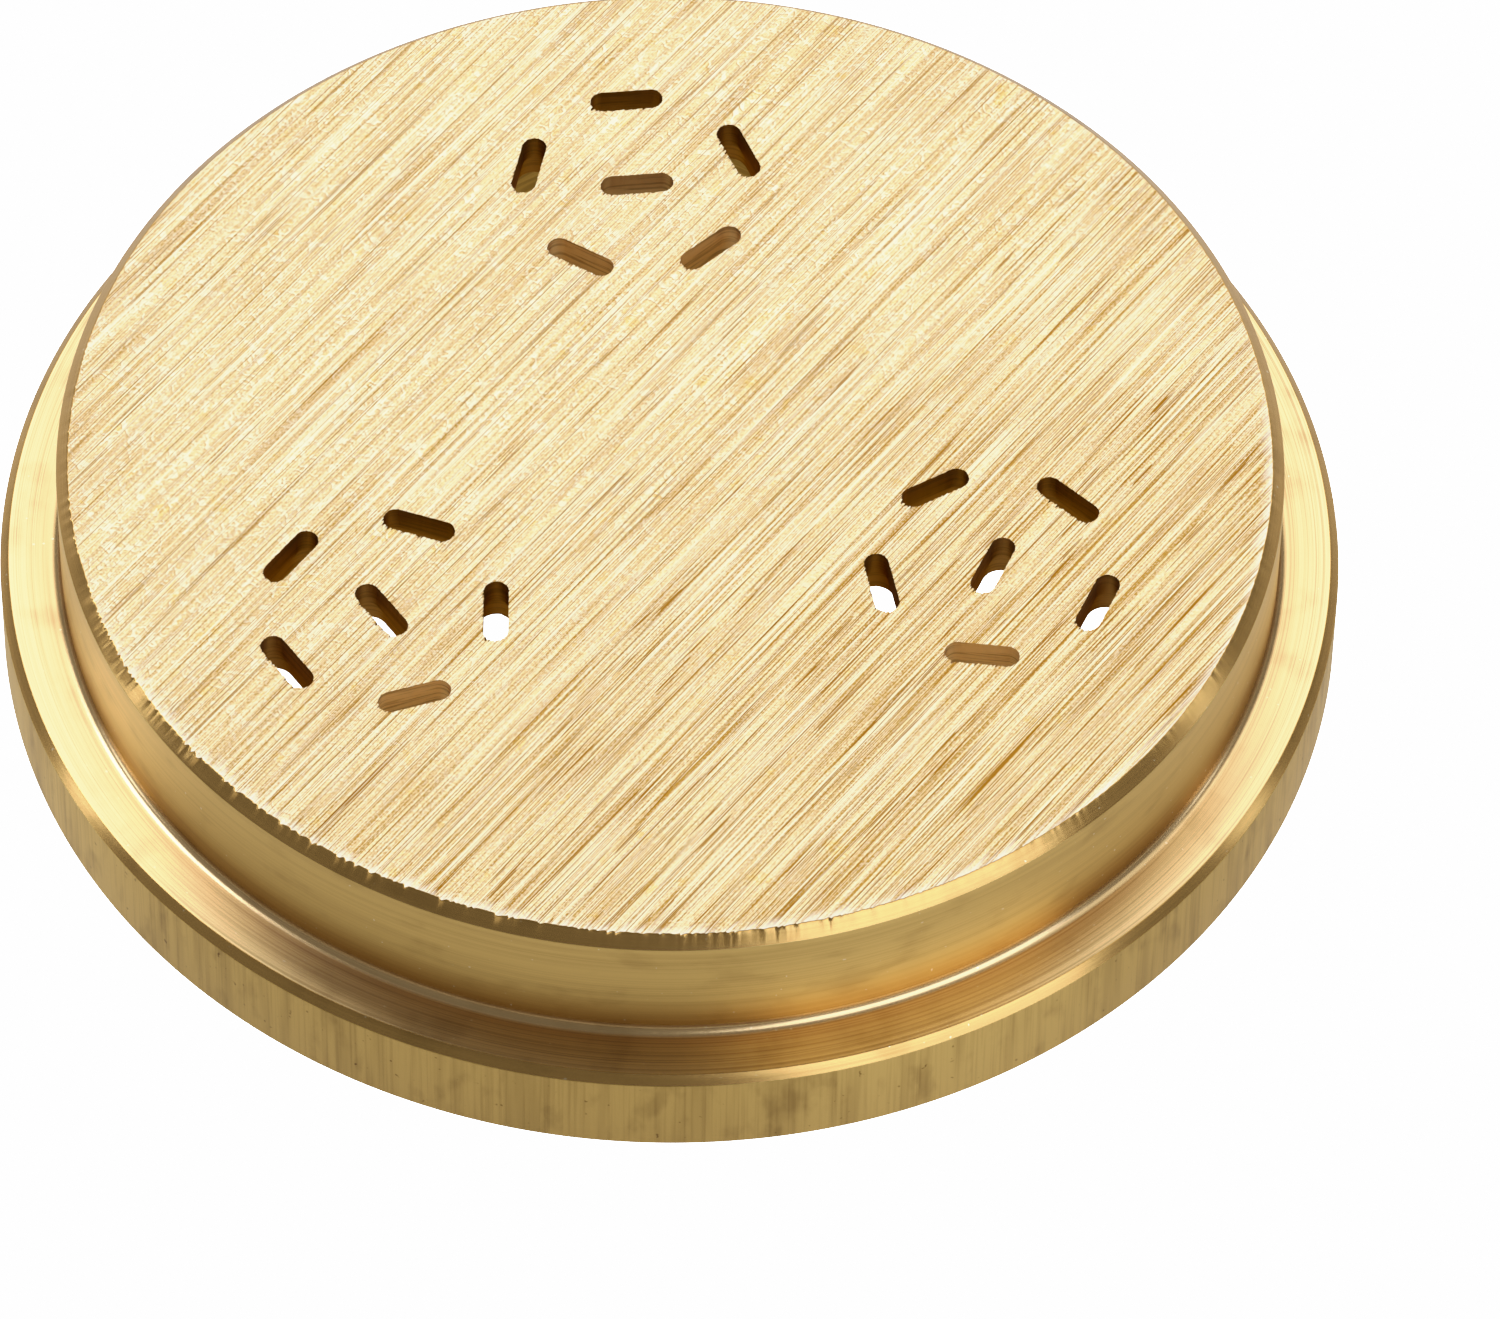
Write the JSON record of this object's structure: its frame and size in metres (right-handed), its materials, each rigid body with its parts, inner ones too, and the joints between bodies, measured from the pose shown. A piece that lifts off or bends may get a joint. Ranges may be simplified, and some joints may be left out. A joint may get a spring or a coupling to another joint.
{
  "type": "pasta extrusion die",
  "caption": "Round flanged brass die that shapes flat noodles: groups of narrow round-ended slots in the front face, fed by round pockets milled from the back.",
  "frame": {"origin": "centre of the back face, on the die's turning axis", "axes": "+Z along the turning axis towards the front face; +Y through the middle of the first group of slots"},
  "size_m": [0.055, 0.055, 0.01],
  "materials": {
    "brass": "turned, with a sanded front face and light tarnish on the rim"
  },
  "bodies": {
    "root": {"die": "brass"}
  },
  "joints": []
}
